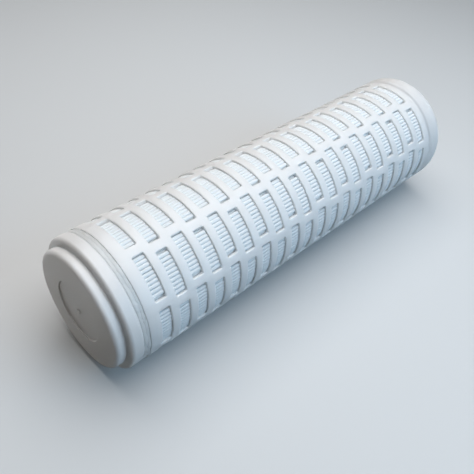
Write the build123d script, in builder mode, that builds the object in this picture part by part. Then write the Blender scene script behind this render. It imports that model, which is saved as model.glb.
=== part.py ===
from build123d import *
import math
import os

os.makedirs("parts", exist_ok=True)

# Pleated filter cartridge, nominal 10 inch, sealed at one end and open at the other.
# It stands on the gasket of its open end: the origin is the centre of the gasket's
# face, and +Z runs along the axis to the closed end cap. All lengths are in millimetres.

# Overall sizes
length = 250.0
outer_radius = 34.5

# Fits between the pieces
pack_clearance = 0.15
gasket_clearance = 0.1

# Closed end cap, from its outer face down to the weld
rim_step = 3.8
rim_height = 4.6
rim_round = 2.0
groove_width = 0.95
groove_depth = 0.8
flange_drop = 0.15
flange_height = 6.7
flange_round = 1.7
flange_back_round = 1.2
weld_land_height = 3.15
weld_land_drop = 1.6
face_recess_radius = 15.5
face_recess_depth = 0.6
face_recess_round = 0.5
gate_radius = 1.3
gate_height = 0.5
end_web = 6.0

# Open end cap and its flat gasket
open_cap_height = 14.2
open_cap_round = 6.0
outlet_radius = 13.0
outlet_chamfer = 0.8
seat_lip = 2.9
seat_land = 3.4
gasket_thickness = 3.0
gasket_proud = 1.2

# Outer cage: rings of windows between ribs and rails
cage_wall = 2.1
cage_end_round = 0.8
cage_end_band = 6.4
window_count = 8
window_height = 6.0
window_corner = 0.9
rib_width = 4.5
rail_width = 4.8
ring_stagger = 5.0

# Inner core: a perforated tube that carries the pleats from inside
core_radius = 17.5
core_wall = 2.2
core_end_band = 9.0
core_window_count = 6
core_window_height = 8.0
core_window_corner = 1.5
core_rib_width = 6.0
core_rail_width = 6.0

# Pleated media: one folded sheet, closed to a star-shaped sleeve
media_thickness = 0.38
fold_gap = 0.16
pleat_gap = 0.1
crest_gap = 0.33

# Heights of the two weld faces that the cage, the media and the core stand between
open_weld_face = gasket_proud + open_cap_height
closed_cap_height = rim_height + groove_width + flange_height + weld_land_height
closed_weld_face = length - closed_cap_height
pack_length = closed_weld_face - open_weld_face

# Radii that follow from the fits
cage_bore = outer_radius - cage_wall
core_bore = core_radius - core_wall
flange_radius = outer_radius - flange_drop
rim_radius = flange_radius - rim_step
groove_radius = rim_radius - groove_depth
weld_land_radius = outer_radius - weld_land_drop
pleat_outer_radius = cage_bore - pack_clearance
pleat_inner_radius = core_radius + pack_clearance
seat_inner_radius = outlet_radius + seat_lip
seat_outer_radius = outer_radius - open_cap_round - seat_land
seat_depth = gasket_thickness - gasket_proud
gasket_inner_radius = seat_inner_radius + gasket_clearance
gasket_outer_radius = seat_outer_radius - gasket_clearance

# How closely an edge has to lie at a given place, or face a given way, to be the one meant
MATCH = 0.01


def round_edges(piece, radius, height):
    """The circular edges of a turned piece at one radius and height."""
    circles = piece.edges().filter_by(GeomType.CIRCLE)
    return circles.filter_by(
        lambda edge: abs(edge.radius - radius) < MATCH and abs(edge.center().Z - height) < MATCH
    )


def ring_heights(end_band, opening, rib):
    """Middle heights of the rings of windows: as many as fit, spread evenly along the tube."""
    span = pack_length - 2 * end_band
    count = int((span + rib) / (opening + rib))
    pitch = (span - opening) / (count - 1)
    first = open_weld_face + end_band + opening / 2
    return [first + ring * pitch for ring in range(count)]


def window_cutter(bore, wall, height, arc, corner):
    """A curved block with rounded corners that cuts one window, centred on +X at height 0."""
    with BuildPart() as cutter:
        with BuildSketch(Plane.XZ) as section:
            with Locations((bore + wall / 2, 0)):
                Rectangle(3 * wall, height)
        revolve(axis=Axis.Z, revolution_arc=arc)
        ends = cutter.faces().filter_by(GeomType.PLANE).filter_by(lambda face: abs(face.normal_at().Z) < MATCH)
        corners = ends.edges().filter_by(lambda edge: abs(edge.tangent_at().Z) < MATCH)
        fillet(corners, corner)
    return cutter.part.rotate(Axis.Z, -arc / 2)


# The outer cage is a moulded tube. Its windows lie in rings, and every second ring
# is turned a little, so that the rails between the windows zigzag along the tube.
window_arc = 360 / window_count - math.degrees(rail_width / outer_radius)
cage_cutter = window_cutter(cage_bore, cage_wall, window_height, window_arc, window_corner)
cage_rings = []
for height in ring_heights(cage_end_band, window_height, rib_width):
    side = -1 if len(cage_rings) % 2 == 0 else 1
    cage_rings.append(Location((0, 0, height), (0, 0, side * ring_stagger / 2)))
with BuildPart() as outer_cage:
    with BuildSketch(Plane.XY.offset(open_weld_face)) as cage_section:
        Circle(outer_radius)
        Circle(cage_bore, mode=Mode.SUBTRACT)
    extrude(amount=pack_length)
    fillet(round_edges(outer_cage, outer_radius, closed_weld_face), cage_end_round)
    with Locations(*cage_rings):
        with PolarLocations(0, window_count):
            add(cage_cutter, mode=Mode.SUBTRACT)
outer_cage.part.label = "outer_cage"
export_step(outer_cage.part, "parts/outer_cage.step")

# The inner core is the same kind of tube, with fewer and taller windows in line.
core_window_arc = 360 / core_window_count - math.degrees(core_rail_width / core_radius)
core_cutter = window_cutter(core_bore, core_wall, core_window_height, core_window_arc, core_window_corner)
core_rings = ring_heights(core_end_band, core_window_height, core_rib_width)
with BuildPart() as inner_core:
    with BuildSketch(Plane.XY.offset(open_weld_face)) as core_section:
        Circle(core_radius)
        Circle(core_bore, mode=Mode.SUBTRACT)
    extrude(amount=pack_length)
    with Locations([(0, 0, height) for height in core_rings]):
        with PolarLocations(0, core_window_count):
            add(core_cutter, mode=Mode.SUBTRACT)
inner_core.part.label = "inner_core"
export_step(inner_core.part, "parts/inner_core.step")

# The media is one sheet folded into radial pleats. At the core each fold is as tight
# as the sheet allows, and the folds stand side by side. Towards the cage there is more
# room, so each crest opens until it nearly meets its neighbours.
root_half_width = media_thickness + fold_gap / 2
root_pitch = 2 * root_half_width + pleat_gap
pleat_count = int(2 * math.pi * pleat_inner_radius / root_pitch)
pleat_angle = 2 * math.pi / pleat_count
crest_half_width = (pleat_outer_radius * pleat_angle - crest_gap) / 2
crest_round = crest_half_width / 2
crest_hollow = crest_half_width - media_thickness


def beside(angle, radius, offset):
    """The point at a radius along the ray at an angle, moved sideways by an offset."""
    x = radius * math.cos(angle) - offset * math.sin(angle)
    y = radius * math.sin(angle) + offset * math.cos(angle)
    return (x, y)


def outside_of_pleat(axis):
    """Outer skin of one pleat: over its rounded crest, then down into the valley after it."""
    valley = axis + pleat_angle / 2
    floor = pleat_inner_radius + media_thickness
    return [
        beside(axis, pleat_outer_radius - crest_round, -crest_half_width),
        beside(axis, pleat_outer_radius, crest_round - crest_half_width),
        beside(axis, pleat_outer_radius, crest_half_width - crest_round),
        beside(axis, pleat_outer_radius - crest_round, crest_half_width),
        beside(valley, floor, -fold_gap / 2),
        beside(valley, floor, fold_gap / 2),
    ]


def inside_of_pleat(axis):
    """Inner skin of one pleat: inside its crest, then round the fold that lies on the core."""
    valley = axis + pleat_angle / 2
    roof = pleat_outer_radius - media_thickness
    return [
        beside(axis, roof - crest_hollow / 2, -crest_hollow),
        beside(axis, roof, -crest_hollow / 2),
        beside(axis, roof, crest_hollow / 2),
        beside(axis, roof - crest_hollow / 2, crest_hollow),
        beside(valley, pleat_inner_radius, -root_half_width),
        beside(valley, pleat_inner_radius, root_half_width),
    ]


pleat_axes = [pleat * pleat_angle for pleat in range(pleat_count)]
outer_skin = [point for axis in pleat_axes for point in outside_of_pleat(axis)]
inner_skin = [point for axis in pleat_axes for point in inside_of_pleat(axis)]
with BuildPart() as pleated_media:
    with BuildSketch(Plane.XY.offset(open_weld_face)) as folded_sheet:
        with BuildLine() as outer_line:
            Polyline(*outer_skin, close=True)
        make_face()
        with BuildLine() as inner_line:
            Polyline(*inner_skin, close=True)
        make_face(mode=Mode.SUBTRACT)
    extrude(amount=pack_length)
pleated_media.part.label = "pleated_media"
export_step(pleated_media.part, "parts/pleated_media.step")

# The closed end cap is turned in section: a rim, a narrow groove, the flange, and the
# land that is melted onto the cage, the media and the core.
groove_top = length - rim_height
flange_top = groove_top - groove_width
flange_bottom = flange_top - flange_height
pocket_roof = length - face_recess_depth - end_web
with BuildPart() as closed_end_cap:
    with BuildSketch(Plane.XZ) as cap_section:
        with BuildLine() as cap_outline:
            Polyline(
                (0, length - face_recess_depth),
                (face_recess_radius, length - face_recess_depth),
                (face_recess_radius, length),
                (rim_radius, length),
                (rim_radius, groove_top),
                (groove_radius, groove_top),
                (groove_radius, flange_top),
                (flange_radius, flange_top),
                (flange_radius, flange_bottom),
                (weld_land_radius, flange_bottom),
                (weld_land_radius, closed_weld_face),
                (core_bore, closed_weld_face),
                (core_bore, pocket_roof),
                (0, pocket_roof),
                close=True,
            )
        make_face()
    revolve(axis=Axis.Z)
    fillet(round_edges(closed_end_cap, rim_radius, length), rim_round)
    fillet(round_edges(closed_end_cap, flange_radius, flange_top), flange_round)
    fillet(round_edges(closed_end_cap, flange_radius, flange_bottom), flange_back_round)
    fillet(round_edges(closed_end_cap, face_recess_radius, length), face_recess_round)
    with Locations((0, 0, length - face_recess_depth)):
        Cylinder(gate_radius, gate_height, align=(Align.CENTER, Align.CENTER, Align.MIN))
closed_end_cap.part.label = "closed_end_cap"
export_step(closed_end_cap.part, "parts/closed_end_cap.step")

# The open end cap carries the outlet and the seat of the gasket, and its outer edge
# is rounded over, so that the cartridge slides into its housing.
with BuildPart() as open_end_cap:
    with BuildSketch(Plane.XY.offset(gasket_proud)) as cap_disc:
        Circle(outer_radius)
        Circle(outlet_radius, mode=Mode.SUBTRACT)
    extrude(amount=open_cap_height)
    with BuildSketch(Plane.XY.offset(gasket_proud)) as gasket_seat:
        Circle(seat_outer_radius)
        Circle(seat_inner_radius, mode=Mode.SUBTRACT)
    extrude(amount=seat_depth, mode=Mode.SUBTRACT)
    fillet(round_edges(open_end_cap, outer_radius, gasket_proud), open_cap_round)
    chamfer(round_edges(open_end_cap, outlet_radius, gasket_proud), outlet_chamfer)
open_end_cap.part.label = "open_end_cap"
export_step(open_end_cap.part, "parts/open_end_cap.step")

# The gasket is a flat ring that seals the open end against the housing's edge.
with BuildPart() as end_gasket:
    with BuildSketch() as gasket_ring:
        Circle(gasket_outer_radius)
        Circle(gasket_inner_radius, mode=Mode.SUBTRACT)
    extrude(amount=gasket_thickness)
end_gasket.part.label = "end_gasket"
export_step(end_gasket.part, "parts/end_gasket.step")

print(f"{len(cage_rings)} rings of {window_count} windows, {pleat_count} pleats")
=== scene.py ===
# %% [markdown]
# # A pleated filter cartridge in white polypropylene
#
# The object is a nominal 10 inch cartridge: a windowed outer cage, two welded end
# caps, a perforated core, and between cage and core one long sheet folded into
# pleats. The frame holds every rigid piece at its real size, so this lesson only
# adds what the eye looks for: softened moulded edges, the ragged weld, the folds
# behind the windows, and the milky plastic itself.

# %% Load the frame
import math

import bmesh
import bpy
from mathutils import Matrix, Vector, noise


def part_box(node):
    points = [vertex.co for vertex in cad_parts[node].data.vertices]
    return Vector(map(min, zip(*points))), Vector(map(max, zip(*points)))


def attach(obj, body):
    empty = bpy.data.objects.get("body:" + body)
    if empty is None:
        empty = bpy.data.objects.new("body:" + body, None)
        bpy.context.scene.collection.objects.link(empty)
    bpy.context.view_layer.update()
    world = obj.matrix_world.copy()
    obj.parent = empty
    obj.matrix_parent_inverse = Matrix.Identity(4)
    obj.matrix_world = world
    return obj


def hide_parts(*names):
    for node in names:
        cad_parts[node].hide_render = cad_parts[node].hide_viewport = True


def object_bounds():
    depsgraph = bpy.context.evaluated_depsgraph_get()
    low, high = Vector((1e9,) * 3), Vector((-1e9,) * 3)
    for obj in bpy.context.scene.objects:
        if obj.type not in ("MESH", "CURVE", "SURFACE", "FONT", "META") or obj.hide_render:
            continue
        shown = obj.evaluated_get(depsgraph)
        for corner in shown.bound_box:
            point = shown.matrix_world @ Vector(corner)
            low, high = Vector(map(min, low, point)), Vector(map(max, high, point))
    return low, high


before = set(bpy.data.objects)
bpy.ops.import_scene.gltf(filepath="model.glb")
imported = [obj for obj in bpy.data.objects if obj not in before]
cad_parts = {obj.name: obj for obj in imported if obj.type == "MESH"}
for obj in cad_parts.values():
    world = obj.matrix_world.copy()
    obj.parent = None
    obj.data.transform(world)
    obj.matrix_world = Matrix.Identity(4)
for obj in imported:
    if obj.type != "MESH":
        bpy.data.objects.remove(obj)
cad_low, cad_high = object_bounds()
MM = 0.001
print("frame size in mm", [round((high - low) / MM, 2) for low, high in zip(cad_low, cad_high)])

# %% [markdown]
# ## Sizes that everything else follows
#
# The places of the pieces come from the boxes of the frame's nodes, so nothing here
# has to be fitted by eye. Only what a box can't tell, such as the number of windows
# round the cage, is written as a value of its own.

# %% Read the sizes from the frame
cage_low, cage_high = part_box("outer_cage")
cap_low, cap_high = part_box("closed_end_cap")
media_low, media_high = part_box("pleated_media")
core_low, core_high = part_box("inner_core")

CAGE_RADIUS = cage_high.x
CAGE_WALL = 2.1 * MM
WINDOWS_ROUND = 8
RING_COUNT = 20
END_BAND = 6.4 * MM
WINDOW_HEIGHT = 6.0 * MM
WINDOW_ARC = 37
RING_TURN = 2.5
MEDIA_THICKNESS = 0.38 * MM

ring_pitch = (cage_high.z - cage_low.z - 2 * END_BAND - WINDOW_HEIGHT) / (RING_COUNT - 1)
print("cage radius", round(CAGE_RADIUS / MM, 2), "ring pitch", round(ring_pitch / MM, 3), "mm")

# %% [markdown]
# ## The camera
#
# The cartridge lies on its side in the picture, and its closed end comes towards the
# viewer. In this frame it stands on its open end instead, so the camera looks down at
# the closed end and is rolled, and the picture shows it lying as it should. Its place
# was found from the outline of the tube and the ellipses of its ends.

# %% Place the camera
CAMERA_AT = Vector((208.4, -160.18, 321.46)) * MM
LOOKS_ALONG = Vector((-0.68789, 0.49397, -0.53179))
PICTURE_UP = Vector((0.72273, 0.53368, -0.43915))
LENS_MM = 43.76


def camera_matrix(place, forward, up):
    """A camera's matrix from its place, its line of sight and the picture's upward direction."""
    forward = forward.normalized()
    right = forward.cross(up).normalized()
    up = right.cross(forward)
    turned = Matrix((right, up, -forward)).transposed().to_4x4()
    return Matrix.Translation(place) @ turned


camera = bpy.data.objects.new("camera", bpy.data.cameras.new("camera"))
camera.data.lens = LENS_MM
camera.data.sensor_width = 36
camera.data.clip_start = 0.01
camera.matrix_world = camera_matrix(CAMERA_AT, LOOKS_ALONG, PICTURE_UP)
bpy.context.collection.objects.link(camera)
bpy.context.scene.camera = camera
print("camera distance", round(CAMERA_AT.length, 3), "m")

# %% [markdown]
# ## Helpers for shapes and materials
#
# A bmesh is a mesh under construction. Each piece is built in one, and a helper turns
# it into an object at the origin, rides it on the frame's one body and shades it
# smooth. One more helper adds a shader node with its settings and links, and one turns
# an sRGB hex colour into the linear numbers that shaders expect.

# %% Define the helpers
def make_object(name, bm, material):
    """The finished piece: a mesh object at the origin that rides on the frame."""
    mesh = bpy.data.meshes.new(name)
    bm.to_mesh(mesh)
    bm.free()
    piece = bpy.data.objects.new(name, mesh)
    bpy.context.collection.objects.link(piece)
    mesh.materials.append(material)
    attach(piece, "root")
    print(name, len(mesh.polygons), "faces")
    return piece


def shade_smooth(piece, sharp_degrees):
    """Smooth shading that stays crisp where faces meet at more than the given angle."""
    piece.data.shade_smooth()
    piece.data.set_sharp_from_angle(angle=math.radians(sharp_degrees))


def linear(hex_colour):
    """An sRGB hex colour as linear red, green, blue and alpha."""
    channels = [int(hex_colour[i : i + 2], 16) / 255 for i in (1, 3, 5)]
    bent = [c / 12.92 if c <= 0.04045 else ((c + 0.055) / 1.055) ** 2.4 for c in channels]
    return (*bent, 1.0)


def add_node(tree, kind, settings=None, **inputs):
    """A shader node: settings are its properties, and inputs are numbers, colours or links."""
    node = tree.nodes.new(kind)
    for key, value in (settings or {}).items():
        setattr(node, key, value)
    for key, value in inputs.items():
        socket = node.inputs[int(key[1:])] if key[1:].isdigit() else node.inputs[key.replace("_", " ")]
        if isinstance(value, bpy.types.NodeSocket):
            tree.links.new(value, socket)
        else:
            socket.default_value = value
    return node


def new_material(name):
    """An empty node material, and its tree and Principled shader."""
    material = bpy.data.materials.new(name)
    material.use_nodes = True
    tree = material.node_tree
    return material, tree, tree.nodes["Principled BSDF"]


# %% [markdown]
# ## Natural polypropylene, injection moulded
#
# Unfilled polypropylene is milky: light enters, scatters for about two millimetres and
# leaves again, so shaded sides glow a little and edges look soft. Some of the light
# isn't scattered and goes straight through, most in the melted flash and least in the
# core. The surface is a satin one. A fine noise bump stands for the texture of the
# mould, and a slow one for the shallow waves where thick walls sink as they cool. The
# colour drifts slightly between a cooler and a warmer white.

# %% Make the polypropylene
TEXTURE_GRAIN = 0.35 * MM
SINK_WAVES = 9 * MM
MILKY_CLOUDS = 16 * MM
SCATTER_DEPTH = 2 * MM


def moulded_polypropylene(name, cool, warm, roughness, see_through):
    """Milky white plastic with a satin skin; see_through is the share of light it lets through."""
    material, tree, shader = new_material(name)
    place = add_node(tree, "ShaderNodeTexCoord").outputs["Object"]
    clouds = add_node(tree, "ShaderNodeTexNoise", Vector=place, Scale=1 / MILKY_CLOUDS, Detail=2.0)
    colour = add_node(
        tree,
        "ShaderNodeMix",
        {"data_type": "RGBA"},
        _0=clouds.outputs["Fac"],
        _6=linear(cool),
        _7=linear(warm),
    )
    tree.links.new(colour.outputs[2], shader.inputs["Base Color"])
    grain = add_node(tree, "ShaderNodeTexNoise", Vector=place, Scale=1 / TEXTURE_GRAIN, Detail=1.0)
    waves = add_node(tree, "ShaderNodeTexNoise", Vector=place, Scale=1 / SINK_WAVES, Detail=1.0)
    fine = add_node(tree, "ShaderNodeBump", Height=grain.outputs["Fac"], Strength=0.12, Distance=0.05 * MM)
    slow = add_node(
        tree,
        "ShaderNodeBump",
        Height=waves.outputs["Fac"],
        Strength=0.3,
        Distance=0.5 * MM,
        Normal=fine.outputs["Normal"],
    )
    tree.links.new(slow.outputs["Normal"], shader.inputs["Normal"])
    shader.inputs["Roughness"].default_value = roughness
    shader.inputs["IOR"].default_value = 1.49
    shader.inputs["Subsurface Weight"].default_value = 1.0
    shader.inputs["Subsurface Radius"].default_value = (1.0, 1.0, 1.0)
    shader.inputs["Subsurface Scale"].default_value = SCATTER_DEPTH
    shader.inputs["Subsurface Anisotropy"].default_value = 0.4
    shader.inputs["Transmission Weight"].default_value = see_through
    return material


cage_plastic = moulded_polypropylene("moulded_polypropylene_cage", "#f4f8fa", "#f7f9fa", 0.42, 0.25)
cap_plastic = moulded_polypropylene("moulded_polypropylene_cap", "#f4f8fa", "#f7f9fa", 0.4, 0.25)
core_plastic = moulded_polypropylene("moulded_polypropylene_core", "#e0e8ec", "#e8ebec", 0.45, 0.1)
melted_plastic = moulded_polypropylene("melted_polypropylene_flash", "#e8eef2", "#eff0f0", 0.35, 0.3)
print("four polypropylene finishes")

# %% [markdown]
# ## Nonwoven media and silicone
#
# The outer layer of the folded sheet is a spunbonded fabric: white fibres pressed
# together at small embossed points. A Voronoi pattern gives the points, about a
# millimetre apart, and a noise gives the fibres. Fabric has no clear highlight, so it
# is rough with a little sheen. The gasket is translucent silicone, soft and matt.

# %% Make the media and the silicone
EMBOSSED_POINTS = 0.9 * MM
FIBRES = 0.12 * MM


def spunbonded_nonwoven():
    """White fabric with embossed points and loose fibres."""
    material, tree, shader = new_material("spunbonded_polypropylene_nonwoven")
    place = add_node(tree, "ShaderNodeTexCoord").outputs["Object"]
    points = add_node(tree, "ShaderNodeTexVoronoi", Vector=place, Scale=1 / EMBOSSED_POINTS, Randomness=0.35)
    fibres = add_node(tree, "ShaderNodeTexNoise", Vector=place, Scale=1 / FIBRES, Detail=3.0)
    shade = add_node(tree, "ShaderNodeValToRGB", Fac=points.outputs["Distance"])
    shade.color_ramp.elements[0].color = linear("#ced3d6")
    shade.color_ramp.elements[1].color = linear("#dadfe2")
    shade.color_ramp.elements[1].position = 0.35
    tree.links.new(shade.outputs["Color"], shader.inputs["Base Color"])
    pressed = add_node(
        tree,
        "ShaderNodeBump",
        Height=points.outputs["Distance"],
        Strength=0.6,
        Distance=0.12 * MM,
    )
    loose = add_node(
        tree,
        "ShaderNodeBump",
        Height=fibres.outputs["Fac"],
        Strength=0.35,
        Distance=0.06 * MM,
        Normal=pressed.outputs["Normal"],
    )
    tree.links.new(loose.outputs["Normal"], shader.inputs["Normal"])
    shader.inputs["Roughness"].default_value = 0.85
    shader.inputs["Sheen Weight"].default_value = 0.3
    shader.inputs["Subsurface Weight"].default_value = 1.0
    shader.inputs["Subsurface Radius"].default_value = (1.0, 1.0, 1.0)
    shader.inputs["Subsurface Scale"].default_value = 1 * MM
    return material


def moulded_silicone():
    """Soft translucent rubber with a matt skin."""
    material, tree, shader = new_material("moulded_silicone_gasket")
    place = add_node(tree, "ShaderNodeTexCoord").outputs["Object"]
    clouds = add_node(tree, "ShaderNodeTexNoise", Vector=place, Scale=1 / MILKY_CLOUDS, Detail=2.0)
    colour = add_node(
        tree,
        "ShaderNodeMix",
        {"data_type": "RGBA"},
        _0=clouds.outputs["Fac"],
        _6=linear("#d9d6cd"),
        _7=linear("#e2e0da"),
    )
    tree.links.new(colour.outputs[2], shader.inputs["Base Color"])
    grain = add_node(tree, "ShaderNodeTexNoise", Vector=place, Scale=1 / TEXTURE_GRAIN, Detail=1.0)
    skin = add_node(tree, "ShaderNodeBump", Height=grain.outputs["Fac"], Strength=0.25, Distance=0.04 * MM)
    tree.links.new(skin.outputs["Normal"], shader.inputs["Normal"])
    shader.inputs["Roughness"].default_value = 0.6
    shader.inputs["IOR"].default_value = 1.41
    shader.inputs["Subsurface Weight"].default_value = 0.8
    shader.inputs["Subsurface Radius"].default_value = (1.0, 0.9, 0.8)
    shader.inputs["Subsurface Scale"].default_value = 3 * MM
    return material


media_fabric = spunbonded_nonwoven()
gasket_silicone = moulded_silicone()
print("media and gasket materials")

# %% [markdown]
# ## The moulded cage
#
# The cage is a tube with rings of windows, and every second ring is turned by a few
# degrees. A vertical line of points, with one at each edge of each ring, is spun round
# the axis in steps of one degree, which gives a tube whose faces already fall on the
# window edges. The faces inside the windows are deleted and the shell gets its wall.
# A mould never leaves knife edges, so the corners and rims of the windows are rounded
# last: those small rounds catch the light and draw every rib.

# %% Build the cage
STEP_DEGREES = 1
CORNER_ROUND = 0.9 * MM
RIM_ROUND = 0.8 * MM
SHARP = math.radians(60)
TINY = 0.01 * MM


def ring_of(height):
    """Number of the ring of windows at a height, counted from below, or None on a rib."""
    place = (height - cage_low.z - END_BAND) / ring_pitch
    ring = int(place) if place >= 0 else -1
    inside = (place - ring) * ring_pitch < WINDOW_HEIGHT
    return ring if 0 <= ring < RING_COUNT and inside else None


def in_window(point):
    """True if a point of the tube's wall lies in a window."""
    ring = ring_of(point.z)
    if ring is None:
        return False
    turn = RING_TURN if ring % 2 else -RING_TURN
    sector = 360 / WINDOWS_ROUND
    angle = (math.degrees(math.atan2(point.y, point.x)) - turn + sector / 2) % sector
    return abs(angle - sector / 2) < WINDOW_ARC / 2


def radius_of(vertex):
    """Distance of a vertex from the axis."""
    return math.hypot(vertex.co.x, vertex.co.y)


def is_sharp(edge):
    """True where two faces meet at a sharp angle."""
    return len(edge.link_faces) == 2 and edge.calc_face_angle() > SHARP


def is_on_rim(edge):
    """True on the cage's outer skin, apart from its lower end, which is flush with the cap."""
    low = max(vertex.co.z for vertex in edge.verts) < cage_low.z + TINY
    return min(map(radius_of, edge.verts)) > CAGE_RADIUS - TINY and not low


def round_edges(bm, edges, size, segments):
    """Rounds edges with a bevel of some segments."""
    bmesh.ops.bevel(
        bm,
        geom=edges,
        offset=size,
        offset_type="OFFSET",
        affect="EDGES",
        segments=segments,
        profile=0.5,
        material=-1,
        clamp_overlap=True,
    )


def cage_heights():
    """Heights of the cage's ends and of the lower and upper edge of every ring of windows."""
    heights = [cage_low.z]
    for ring in range(RING_COUNT):
        bottom = cage_low.z + END_BAND + ring * ring_pitch
        heights += [bottom, bottom + WINDOW_HEIGHT]
    return [*heights, cage_high.z]


def build_cage():
    """The windowed tube as a closed mesh with rounded windows."""
    bm = bmesh.new()
    line = [bm.verts.new((CAGE_RADIUS, 0, height)) for height in cage_heights()]
    edges = [bm.edges.new(pair) for pair in zip(line, line[1:])]
    bmesh.ops.spin(
        bm,
        geom=line + edges,
        cent=(0, 0, 0),
        axis=(0, 0, 1),
        angle=math.tau,
        steps=360 // STEP_DEGREES,
        use_merge=True,
    )
    bmesh.ops.remove_doubles(bm, verts=bm.verts, dist=TINY)
    bmesh.ops.recalc_face_normals(bm, faces=bm.faces)
    openings = [face for face in bm.faces if in_window(face.calc_center_median())]
    bmesh.ops.delete(bm, geom=openings, context="FACES")
    bmesh.ops.solidify(bm, geom=bm.faces, thickness=CAGE_WALL)
    reach = max(radius_of(vertex) for vertex in bm.verts)
    print("cage reaches", round(reach / MM, 3), "mm before rounding")
    corners = [
        edge
        for edge in bm.edges
        if is_sharp(edge) and abs(radius_of(edge.verts[0]) - radius_of(edge.verts[1])) > CAGE_WALL / 2
    ]
    round_edges(bm, corners, CORNER_ROUND, 3)
    rims = [edge for edge in bm.edges if is_sharp(edge) and is_on_rim(edge)]
    round_edges(bm, rims, RIM_ROUND, 3)
    return bm


cage = make_object("windowed_cage", build_cage(), cage_plastic)
shade_smooth(cage, 40)
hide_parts("outer_cage")

# %% [markdown]
# ## The pleats
#
# One sheet is folded back and forth between core and cage. Through the windows only
# the crests show, as a row of fine rounded ridges, and because fabric is soft no two
# stand quite alike. In every window the crests also swell outwards, close up to the
# window's walls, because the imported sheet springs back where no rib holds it. A solid
# block with a bump could suggest this, but its silhouette would stay flat. So the
# sheet is real: its zigzag line is
# laid out once, with an arch at each fold, and extruded from height to height. The
# outer skin gets a height at each place where a window begins, swells or ends, and the
# inner skin, which nobody sees, is one straight step.

# %% Build the pleats
PLEAT_COUNT = 108
CREST_GAP = 0.06 * MM
CREST_RISE = 0.42 * MM
FOLD_GAP = 0.16 * MM
CREST_POINTS = 5
ROOT_POINTS = 2
LEAN = 0.15 * MM
SINK = 0.12 * MM
SWELL = 1.5 * MM
STEEP_AT_RIBS = 60
STEEP_AT_RAILS = 40
PACK_CLEARANCE = 0.15 * MM
LEAN_LENGTH = 30 * MM
SINK_LENGTH = 50 * MM

pleat_pitch = math.tau / PLEAT_COUNT
crest_half_width = (media_high.x * pleat_pitch - CREST_GAP) / 2
root_radius = core_high.x + PACK_CLEARANCE


def swell_at(angle, height):
    """How far a crest stands into a window: nothing at its edges, and all of it just inside them."""
    place = (height - cage_low.z - END_BAND) / ring_pitch
    ring = int(max(place, 0))
    up = (place - ring) * ring_pitch / WINDOW_HEIGHT
    turn = RING_TURN if ring % 2 else -RING_TURN
    sector = 360 / WINDOWS_ROUND
    room = (WINDOW_ARC - 360 / PLEAT_COUNT) / 2
    around = abs((math.degrees(angle) - turn + sector / 2) % sector - sector / 2) / room
    if not 0 < up < 1 or around > 1:
        return 0.0
    return SWELL * (1 - abs(2 * up - 1) ** STEEP_AT_RIBS) * (1 - around**STEEP_AT_RAILS)


def arch(angle, centre, half_width, rise, count):
    """Points of an arch across the ray at an angle."""
    out = Vector((math.cos(angle), math.sin(angle), 0))
    across = Vector((-math.sin(angle), math.cos(angle), 0))
    turns = [math.pi * i / (count - 1) for i in range(count)]
    return [out * (centre + rise * math.sin(turn)) - across * half_width * math.cos(turn) for turn in turns]


def skin(height, outer):
    """The closed zigzag line of the sheet's outer or inner skin at a height."""
    points = []
    for pleat in range(PLEAT_COUNT):
        angle = pleat * pleat_pitch
        lean = LEAN * noise.noise(Vector((pleat * 1.7, height / LEAN_LENGTH, 0))) / media_high.x
        sink = SINK * abs(noise.noise(Vector((pleat * 2.3, height / SINK_LENGTH, 7))))
        inwards = 0 if outer else MEDIA_THICKNESS
        crest = media_high.x - CREST_RISE - sink + (swell_at(angle, height) if outer else 0)
        root = root_radius + (MEDIA_THICKNESS if outer else 0)
        root_half_width = FOLD_GAP / 2 + inwards
        points += arch(angle + lean, crest, crest_half_width - inwards, CREST_RISE - inwards, CREST_POINTS)
        points += arch(angle + pleat_pitch / 2, root, root_half_width, 0, ROOT_POINTS)
    return [point + Vector((0, 0, height)) for point in points]


def grow(bm, line, edges, places):
    """Extrudes a closed line and moves each of its points to a new place."""
    made = bmesh.ops.extrude_edge_only(bm, edges=edges)["geom"]
    fresh = {item for item in made if isinstance(item, bmesh.types.BMVert)}
    line = [
        next(other for other in (edge.other_vert(vertex) for edge in vertex.link_edges) if other in fresh)
        for vertex in line
    ]
    for vertex, place in zip(line, places):
        vertex.co = place
    return line, [e for e in made if isinstance(e, bmesh.types.BMEdge) and fresh.issuperset(e.verts)]


def media_heights():
    """Heights of the sheet's ends, and five in every ring of windows."""
    heights = [media_low.z]
    for ring in range(RING_COUNT):
        bottom = cage_low.z + END_BAND + ring * ring_pitch
        heights += [bottom + share * WINDOW_HEIGHT for share in (0, 0.02, 0.5, 0.98, 1)]
    return [*heights, media_high.z]


def build_pleats():
    """The folded sheet: up along the outer skin, down along the inner one, and closed."""
    heights = media_heights()
    bm = bmesh.new()
    start = skin(heights[0], True)
    line = [bm.verts.new(point) for point in start]
    edges = [bm.edges.new((line[i - 1], line[i])) for i in range(len(line))]
    for height in heights[1:]:
        line, edges = grow(bm, line, edges, skin(height, True))
    line, edges = grow(bm, line, edges, skin(heights[-1], False))
    line, edges = grow(bm, line, edges, skin(heights[0], False))
    grow(bm, line, edges, start)
    bmesh.ops.remove_doubles(bm, verts=bm.verts, dist=TINY)
    bmesh.ops.recalc_face_normals(bm, faces=bm.faces)
    return bm


pleats = make_object("folded_media", build_pleats(), media_fabric)
shade_smooth(pleats, 60)
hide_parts("pleated_media")

# %% [markdown]
# ## The weld flash
#
# The end cap is pressed onto the pack while both are molten, and the plastic that is
# squeezed out freezes as two uneven ropes between the flange and the cage. For each, a
# small circle is stretched along the axis, so that the ropes run into each other with
# a shallow groove between them. It is spun round the axis, and its points are pushed
# about by noise, slowly for the lumps and quickly for the ragged lip. It stays inside
# the cage's radius.

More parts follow.
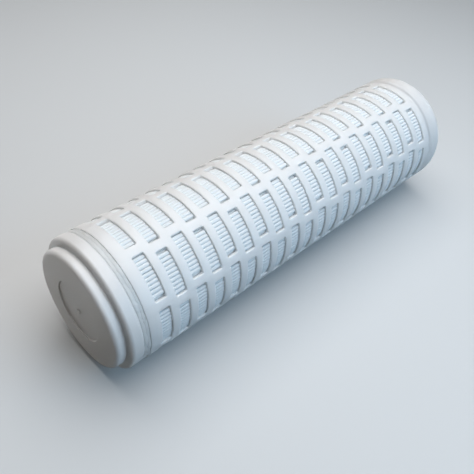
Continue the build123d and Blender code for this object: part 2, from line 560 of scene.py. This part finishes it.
# %% Build the weld flash
FLASH_STEPS = 300
FLASH_STRETCH = 1.5
LAND_RADIUS = 32.9 * MM
FLASH_LIMIT = CAGE_RADIUS - 0.05 * MM


def build_flash(centre_radius, height, thickness, roughness, seed):
    """An uneven rope of molten plastic round the weld."""
    bm = bmesh.new()
    made = bmesh.ops.create_circle(bm, cap_ends=False, radius=thickness, segments=10)
    taller = Matrix.Diagonal((1, 1, FLASH_STRETCH, 1))
    turned = Matrix.Translation((centre_radius, 0, height)) @ taller @ Matrix.Rotation(math.pi / 2, 4, "X")
    bmesh.ops.transform(bm, matrix=turned, verts=made["verts"])
    bmesh.ops.spin(
        bm,
        geom=bm.verts[:] + bm.edges[:],
        cent=(0, 0, 0),
        axis=(0, 0, 1),
        angle=math.tau,
        steps=FLASH_STEPS,
        use_merge=True,
    )
    bmesh.ops.remove_doubles(bm, verts=bm.verts, dist=TINY)
    for vertex in bm.verts:
        angle = math.atan2(vertex.co.y, vertex.co.x)
        radius = radius_of(vertex)
        around = Vector((math.cos(angle), math.sin(angle), 0)) * 6
        lump = noise.noise(around + Vector((0, 0, seed)))
        lip = noise.noise(around * 5 + Vector((0, 0, seed + 3)))
        wander = noise.noise(around * 1.5 + Vector((0, 0, seed + 9)))
        out = radius - centre_radius
        radius = centre_radius + out * (1 + 0.3 * lump) + roughness * lip
        radius = min(radius, FLASH_LIMIT)
        vertex.co.x = radius * math.cos(angle)
        vertex.co.y = radius * math.sin(angle)
        vertex.co.z = height + (vertex.co.z - height) * (1 + 0.2 * lump) + roughness * wander
    bmesh.ops.recalc_face_normals(bm, faces=bm.faces)
    return bm


for name, lift, rope, ragged, seed in (
    ("weld_flash_cap", 2.35 * MM, 1.1 * MM, 0.2 * MM, 1),
    ("weld_flash_cage", 0.8 * MM, 1.1 * MM, 0.25 * MM, 5),
):
    flash = make_object(
        name,
        build_flash(LAND_RADIUS + 0.2 * MM, cage_high.z + lift, rope, ragged, seed),
        melted_plastic,
    )
    shade_smooth(flash, 80)

# %% [markdown]
# ## Finishes for the frame's own pieces
#
# The caps, the core and the gasket already have their true shape, so they only get
# their material. A frame node's mesh is never edited.

# %% Dress the frame's pieces
finishes = {
    "closed_end_cap": cap_plastic,
    "open_end_cap": cap_plastic,
    "inner_core": core_plastic,
    "end_gasket": gasket_silicone,
}
for node, finish in finishes.items():
    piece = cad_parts[node]
    piece.data.materials.clear()
    piece.data.materials.append(finish)
print("dressed", ", ".join(finishes))

# %% [markdown]
# ## Floor and light
#
# The surface that the cartridge lies on in the picture touches its side, so in this
# frame it is an upright plane. It shows from its front only, so that it never hides
# the object in a view from behind. One large soft light stands above the object and a
# little towards its far end, which leaves the closed end in shade. A cool fill comes
# from the viewer's side, and a weaker one lights the side that the picture doesn't
# show. The world is dim and warm where it lights the object, and pale where it is seen
# past the floor. White plastic passes light on many times before it fades, so the
# number of bounces is raised: with few, the ribs come out darker than the media.

# %% Build the floor
FLOOR_SIZE = 4.0


def pale_floor_material():
    """A plain pale surface that can't be seen from behind."""
    material, tree, shader = new_material("pale_floor")
    shader.inputs["Base Color"].default_value = linear("#cdd0d2")
    shader.inputs["Roughness"].default_value = 0.7
    side = add_node(tree, "ShaderNodeNewGeometry")
    clear = add_node(tree, "ShaderNodeBsdfTransparent")
    choice = add_node(
        tree,
        "ShaderNodeMixShader",
        _0=side.outputs["Backfacing"],
        _1=shader.outputs["BSDF"],
        _2=clear.outputs["BSDF"],
    )
    tree.links.new(choice.outputs["Shader"], tree.nodes["Material Output"].inputs["Surface"])
    return material


bm = bmesh.new()
bmesh.ops.create_grid(bm, x_segments=1, y_segments=1, size=FLOOR_SIZE)
upright = Matrix.Translation((cad_low.x, 0, 0)) @ Matrix.Rotation(math.pi / 2, 4, "Y")
bmesh.ops.transform(bm, matrix=upright, verts=bm.verts)
floor_mesh = bpy.data.meshes.new("floor")
bm.to_mesh(floor_mesh)
bm.free()
floor_mesh.materials.append(pale_floor_material())
floor = bpy.data.objects.new("floor", floor_mesh)
bpy.context.collection.objects.link(floor)
floor.visible_diffuse = False
floor.visible_shadow = False
floor_faces = [round(part, 1) for part in floor_mesh.polygons[0].normal]
print("floor at x", round(cad_low.x / MM, 1), "mm, facing", floor_faces)

# %% Set the lights
MIDDLE = (cad_low + cad_high) / 2


def soft_light(name, direction, distance, width, height, power, colour):
    """A large rectangular light that looks at the middle of the object."""
    data = bpy.data.lights.new(name, "AREA")
    data.shape = "RECTANGLE"
    data.size = width
    data.size_y = height
    data.energy = power
    data.color = linear(colour)[:3]
    light = bpy.data.objects.new(name, data)
    direction = Vector(direction).normalized()
    light.matrix_world = Matrix.Translation(MIDDLE + direction * distance) @ direction.to_track_quat(
        "Z", "Y"
    ).to_matrix().to_4x4()
    bpy.context.collection.objects.link(light)
    return light


soft_light("key", (1.0, 0.05, -0.1), 0.6, 0.9, 0.6, 5.2, "#fffdfc")
soft_light("fill", (0.42, -0.9, -0.3), 1.0, 0.8, 0.8, 6.0, "#b5dfff")
soft_light("back fill", (-0.6, 1.0, 0.1), 1.1, 0.9, 0.9, 4.0, "#f2f4f6")
world = bpy.data.worlds.new("studio")
world.use_nodes = True
world.node_tree.nodes["Background"].inputs["Color"].default_value = linear("#dccdb6")
world.node_tree.nodes["Background"].inputs["Strength"].default_value = 0.1
backdrop = add_node(world.node_tree, "ShaderNodeBackground", Color=linear("#d3d7da"), Strength=1.0)
seen = add_node(
    world.node_tree,
    "ShaderNodeMixShader",
    _0=add_node(world.node_tree, "ShaderNodeLightPath").outputs["Is Camera Ray"],
    _1=world.node_tree.nodes["Background"].outputs["Background"],
    _2=backdrop.outputs["Background"],
)
world.node_tree.links.new(seen.outputs["Shader"], world.node_tree.nodes["World Output"].inputs["Surface"])
bpy.context.scene.world = world
bpy.context.scene.view_settings.view_transform = "Standard"
bpy.context.scene.cycles.diffuse_bounces = 12
bpy.context.scene.cycles.transmission_bounces = 24
bpy.context.scene.cycles.max_bounces = 24
print("three lights and a pale world")
